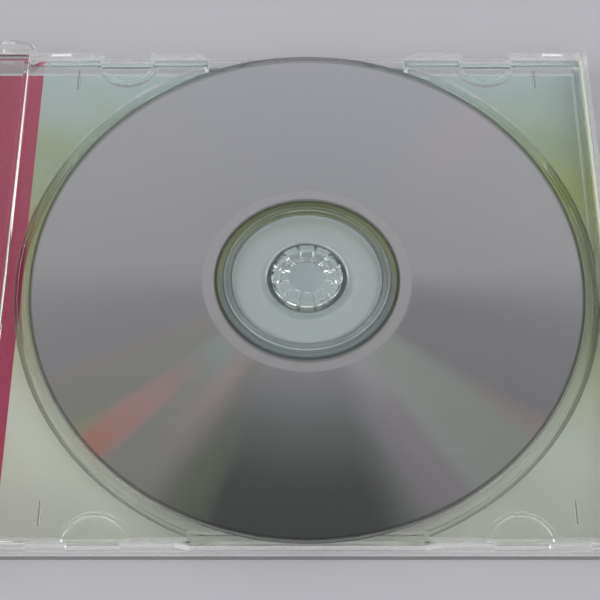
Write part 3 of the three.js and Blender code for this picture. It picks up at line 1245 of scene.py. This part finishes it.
@dataclass
class Studio:
    """Table, lamps, world and camera. Lengths in millimetres, angles in degrees.

    Attributes:
        focal: The lens.
        elevation: How high the camera looks from.
        distance: How far it is from its target.
        target: The point it looks at.
        table_reach: Half the table's width.
        table_top: Its height.
        dim_towards: Direction along y and z of the dim part of the ceiling.
        dim_squash: How much wider than deep that part is, as a factor on x.
    """

    focal: float = 88.97
    elevation: float = 60.467
    distance: float = 317.88
    target: Point = (-1.504, -4.499, 5.0)
    table_reach: float = 30000.0
    table_top: float = -0.02
    dim_towards: tuple[float, float] = (0.309, 0.951)
    dim_squash: float = 0.55

    def build(self) -> None:
        """Makes everything around the object."""
        self._camera()
        self._table()
        self._world()
        for lamp in (
            Lamp("lamp_left", (-1.0, -0.3, 0.8), 1.5, 6.6),
            Lamp("lamp_right", (1.05, 0.1, 0.85), 1.5, 6.0),
            Lamp("lamp_front", (0.1, -1.2, 1.1), 1.9, 5.0),
        ):
            lamp.build()
        bpy.context.scene.view_settings.view_transform = "Standard"

    def _camera(self) -> None:
        """Places the camera at the photograph's angle."""
        data = bpy.data.cameras.new("camera")
        data.lens = self.focal
        data.sensor_width = 36.0
        data.clip_start = 0.01
        data.clip_end = 50.0
        camera = bpy.data.objects.new("camera", data)
        bpy.context.scene.collection.objects.link(camera)
        lift = math.radians(self.elevation)
        back = Vector((0.0, -math.cos(lift), math.sin(lift)))
        camera.location = (Vector(self.target) + back * self.distance) * MM
        camera.rotation_euler = (math.radians(90 - self.elevation), 0.0, 0.0)
        bpy.context.scene.camera = camera

    def _table(self) -> None:
        """Lays the pale table top just under the case."""
        material, graph, shader, _ = start_material("table_top")
        spot = graph.place()[0]
        tone = graph.mix(graph.noise(spot, 3.0), srgb("BAB9BD"), srgb("B7B6BB"))
        graph.feed(shader.inputs["Base Color"], tone)
        shader.inputs["Roughness"].default_value = 0.7
        shader.inputs["Specular IOR Level"].default_value = 0.2
        reach, top = self.table_reach, self.table_top
        points = [(-reach, -reach, top), (reach, -reach, top), (reach, reach, top), (-reach, reach, top)]
        add_mesh("table_top", points, [(0, 1, 2, 3)], material)

    def _world(self) -> None:
        """Sets a soft room whose ceiling is darker than its walls."""
        world = bpy.data.worlds.new("room")
        bpy.context.scene.world = world
        world.use_nodes = True
        world.node_tree.nodes.clear()
        graph = Graph(world.node_tree)
        parts = graph.node("ShaderNodeSeparateXYZ")
        graph.feed(parts.inputs[0], graph.node("ShaderNodeTexCoord").outputs["Generated"])
        room = graph.ramp(parts.outputs["Z"], (
            (0.0, (0.66, 0.66, 0.68)), (0.3, (0.7, 0.7, 0.72)), (0.6, (0.6, 0.6, 0.62)),
            (0.8, (0.52, 0.52, 0.54)), (1.0, (0.46, 0.46, 0.475)),
        ))
        # The dim part of the ceiling that the flat disc mirrors.
        total = graph.math("POWER", graph.math("MULTIPLY", parts.outputs["X"], self.dim_squash), 2.0)
        for name, middle in zip("YZ", self.dim_towards):
            away = graph.math("SUBTRACT", parts.outputs[name], middle)
            total = graph.math("MULTIPLY_ADD", away, away, total)
        away = graph.math("SQRT", total)
        dim = graph.ramp(away, (
            (0.0, (0.105, 0.105, 0.105)), (0.09, (0.12, 0.12, 0.121)), (0.14, (0.155, 0.155, 0.157)),
            (0.21, (0.25, 0.25, 0.254)), (0.3, (0.45, 0.45, 0.465)), (0.36, (0.49, 0.49, 0.512)),
            (1.0, (0.5, 0.5, 0.52)),
        ))
        background = graph.node("ShaderNodeBackground")
        graph.feed(background.inputs["Color"], graph.mix(graph.step(away, 0.36, 0.55), dim, room))
        output = graph.node("ShaderNodeOutputWorld")
        graph.feed(output.inputs["Surface"], background.outputs[0])


def tray_spots() -> tuple[SoftSpot, ...]:
    """Lists where the tray's edges are rounder or finer: hub, bar edge and ribs.

    Returns:
        The spots.
    """
    ribs = [
        SoftSpot(
            (x - RIB_HALF_WIDTH, y - RIB_HALF_LENGTH, RIB_FOOT),
            (x + RIB_HALF_WIDTH, y + RIB_HALF_LENGTH, RIB_FOOT + RIB_HEIGHT),
            0.22,
        )
        for x in (-RIB_X, RIB_X)
        for y in (-RIB_Y, RIB_Y)
    ]
    # The hub's thin fingers are crisp, and the bar's long upper edge is soft.
    hub = SoftSpot((-9.7, -9.7, 0.0), (9.7, 9.7, 10.0), 0.05)
    bar = SoftSpot((-64.7, -60.0, 8.4), (-64.5, 60.0, 8.6), 0.4)
    return (hub, bar, *ribs)


def main() -> None:
    """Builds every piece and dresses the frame's nodes."""
    logging.basicConfig(level=logging.INFO, format="%(name)s: %(message)s")
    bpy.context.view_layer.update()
    effects = Effects()
    mouldings = (
        ClearMoulding(
            "case_base", Body.CASE, "clear_base",
            ClearPlastic("clear_base", tint=(0.985, 0.988, 0.975), clearness=0.9), edge=0.12,
        ),
        # The tray's plastic carries painted shade along the cores of its ribs.
        ClearMoulding(
            "tray", Body.CASE, "clear_tray",
            ClearPlastic(
                "clear_tray", clearness=1.0, frosted=ToneRing(9.0, 16.2, 0.3, 0.55),
                thin_ring=ToneRing(61.3, 62.9, 0.4, 0.55), rib_painted_shade=0.9,
            ),
            tray_spots(),
        ),
        ClearMoulding("lid", Body.LID, "clear_lid", ClearPlastic("clear_lid", clearness=0.93)),
    )
    for part in (*mouldings, InlayCard(), Disc(), Booklet()):
        for piece in part.build(effects):
            LOG.info("%s: %s", type(part).__name__, piece.name)
    Studio().build()


if __name__ == "__main__":
    main()
